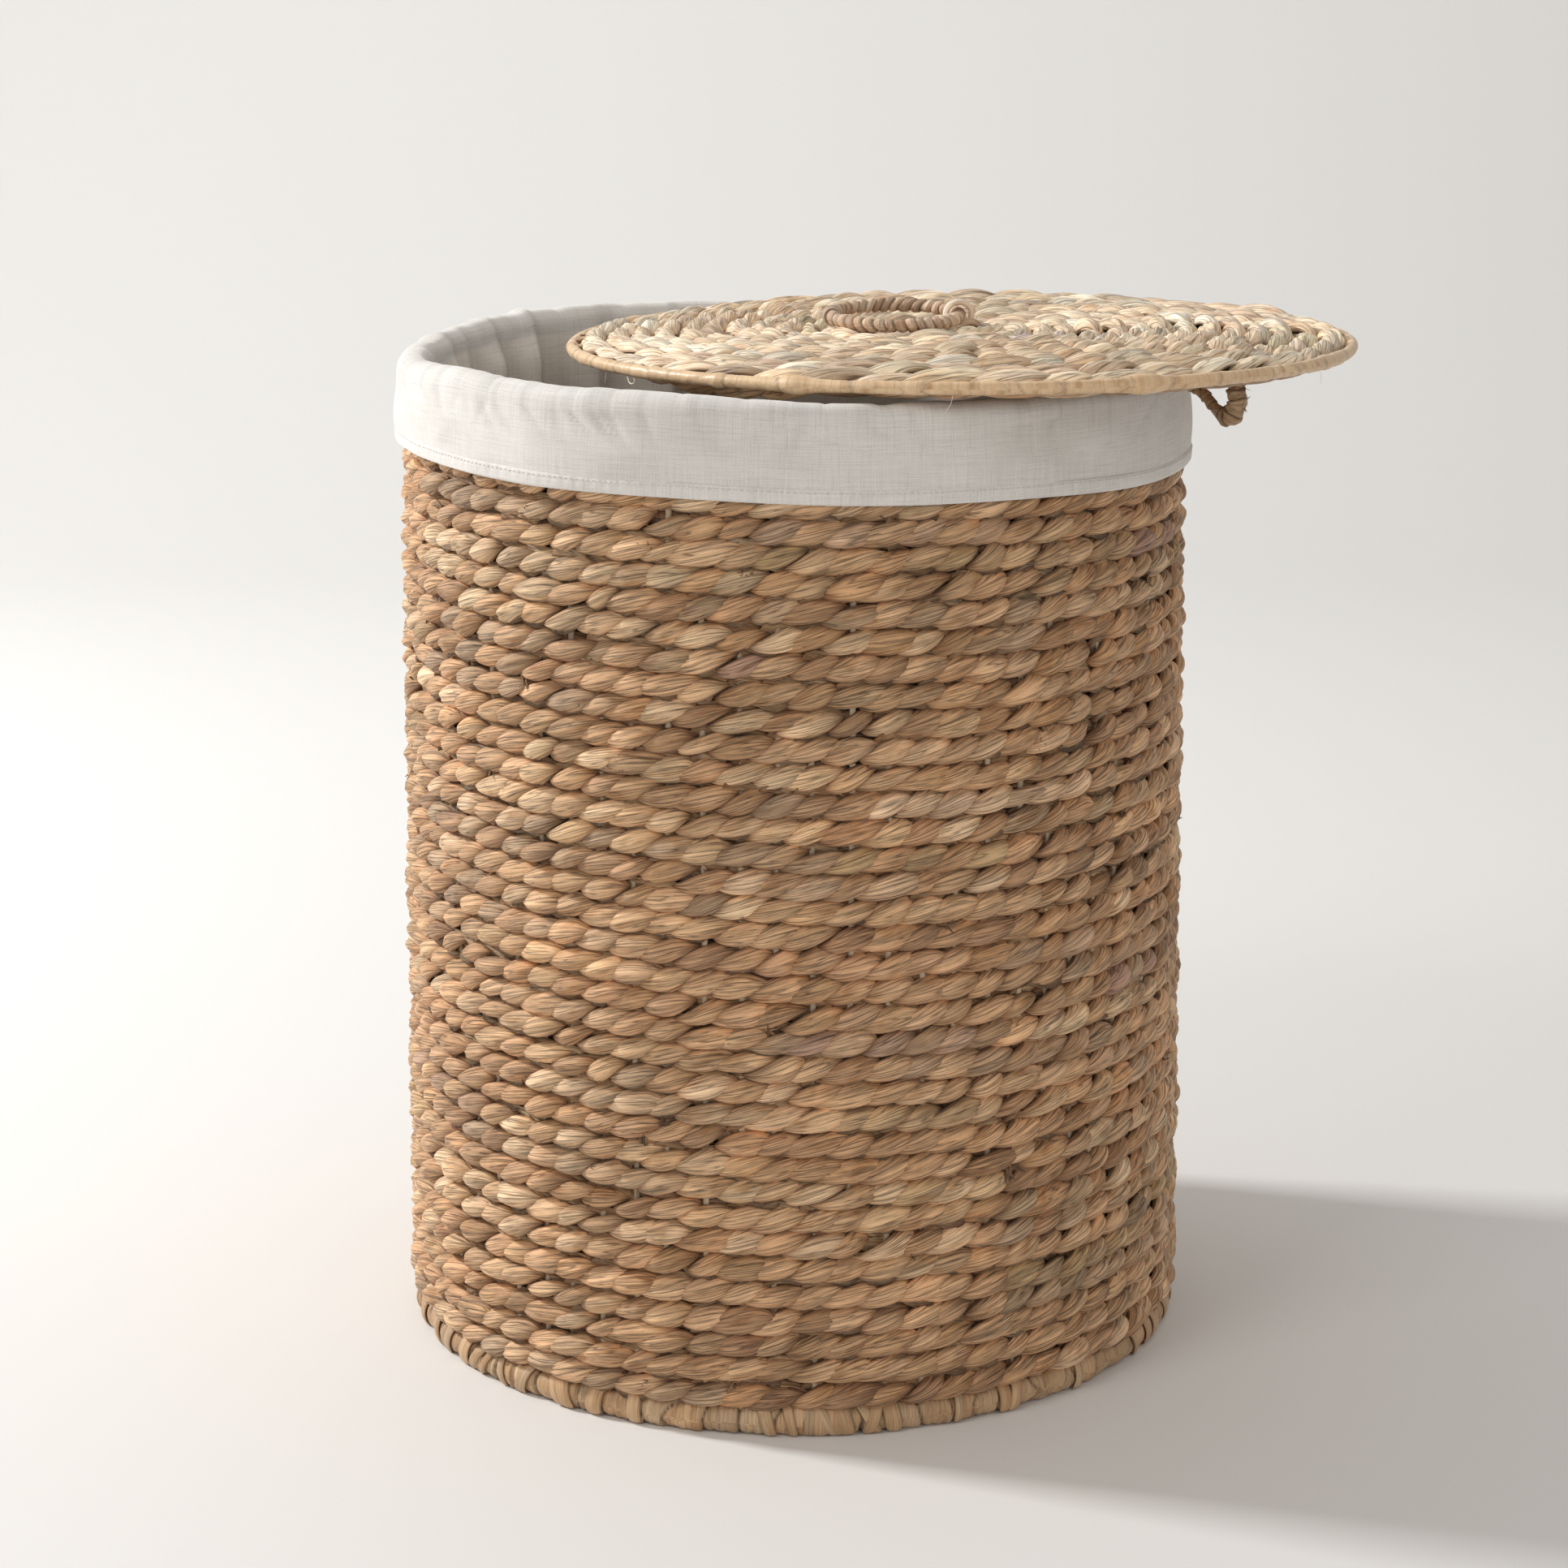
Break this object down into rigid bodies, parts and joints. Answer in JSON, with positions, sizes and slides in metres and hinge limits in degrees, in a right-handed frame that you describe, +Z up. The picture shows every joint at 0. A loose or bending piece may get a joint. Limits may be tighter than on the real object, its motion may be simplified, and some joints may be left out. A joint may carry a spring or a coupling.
{
  "type": "laundry hamper with lid",
  "caption": "Round hand-woven laundry hamper on a welded wire cage, with a cloth liner folded over the rim and a lift-off woven lid with a flip-up ring handle.",
  "frame": {"origin": "centre of the base's underside, on the basket's axis, where the hamper stands on the floor", "axes": "+Z up along the basket's axis; -Y is the front; +X is the side that the lid is pushed towards"},
  "size_m": [0.5109, 0.4234, 0.5492],
  "materials": {
    "fibre": "dry, twisted water-hyacinth strand with fine lengthwise fibres",
    "fibre_inner": "dry twisted strand, darker on the inside",
    "leaf_wrap": "flat dried leaf wound round wire, slightly glossy",
    "wire": "steel wire with a dull coat",
    "cloth": "undyed plain-weave cotton",
    "cloth_hem": "stitched hem of the same cotton",
    "cord": "twisted plant cord, tightly wound"
  },
  "bodies": {
    "basket": {"wire_cage": "wire", "foot_ring_wrap": "leaf_wrap", "weave_outer": "fibre", "weave_inner": "fibre_inner", "rim_border": "fibre", "base_wires": "wire", "base_weave_lower": "fibre_inner", "base_weave_upper": "fibre_inner"},
    "liner": {"liner_bottom_panel": "cloth", "liner_side_panel": "cloth", "liner_cuff": "cloth", "liner_hem": "cloth_hem"},
    "lid": {"lid_wire_frame": "wire", "lid_rim_wrap": "leaf_wrap", "lid_weave_upper": "fibre", "lid_weave_under": "fibre_inner", "lid_lug_wire_1": "wire", "lid_lug_wire_2": "wire", "lid_lug_wire_3": "wire", "lid_lug_wire_4": "wire", "lid_lug_wrap_1": "leaf_wrap", "lid_lug_wrap_2": "leaf_wrap", "lid_lug_wrap_3": "leaf_wrap", "lid_lug_wrap_4": "leaf_wrap", "handle_loop": "cord"},
    "handle": {"handle_ring_core": "wire", "handle_ring_wrap": "cord", "handle_knot": "cord"}
  },
  "joints": [
    {"name": "liner_lift", "type": "slide", "parent": "basket", "child": "liner", "axis": [0, 0, 1], "range_m": [0, 0.54]},
    {"name": "lid_lift", "type": "slide", "parent": "liner", "child": "lid", "axis": [0, 0, 1], "range_m": [0, 0.25]},
    {"name": "handle_flip", "type": "hinge", "parent": "lid", "child": "handle", "pos_m": [0.088, 0, 0.5439], "axis": [0, 1, 0], "range_deg": [0, 175]}
  ]
}
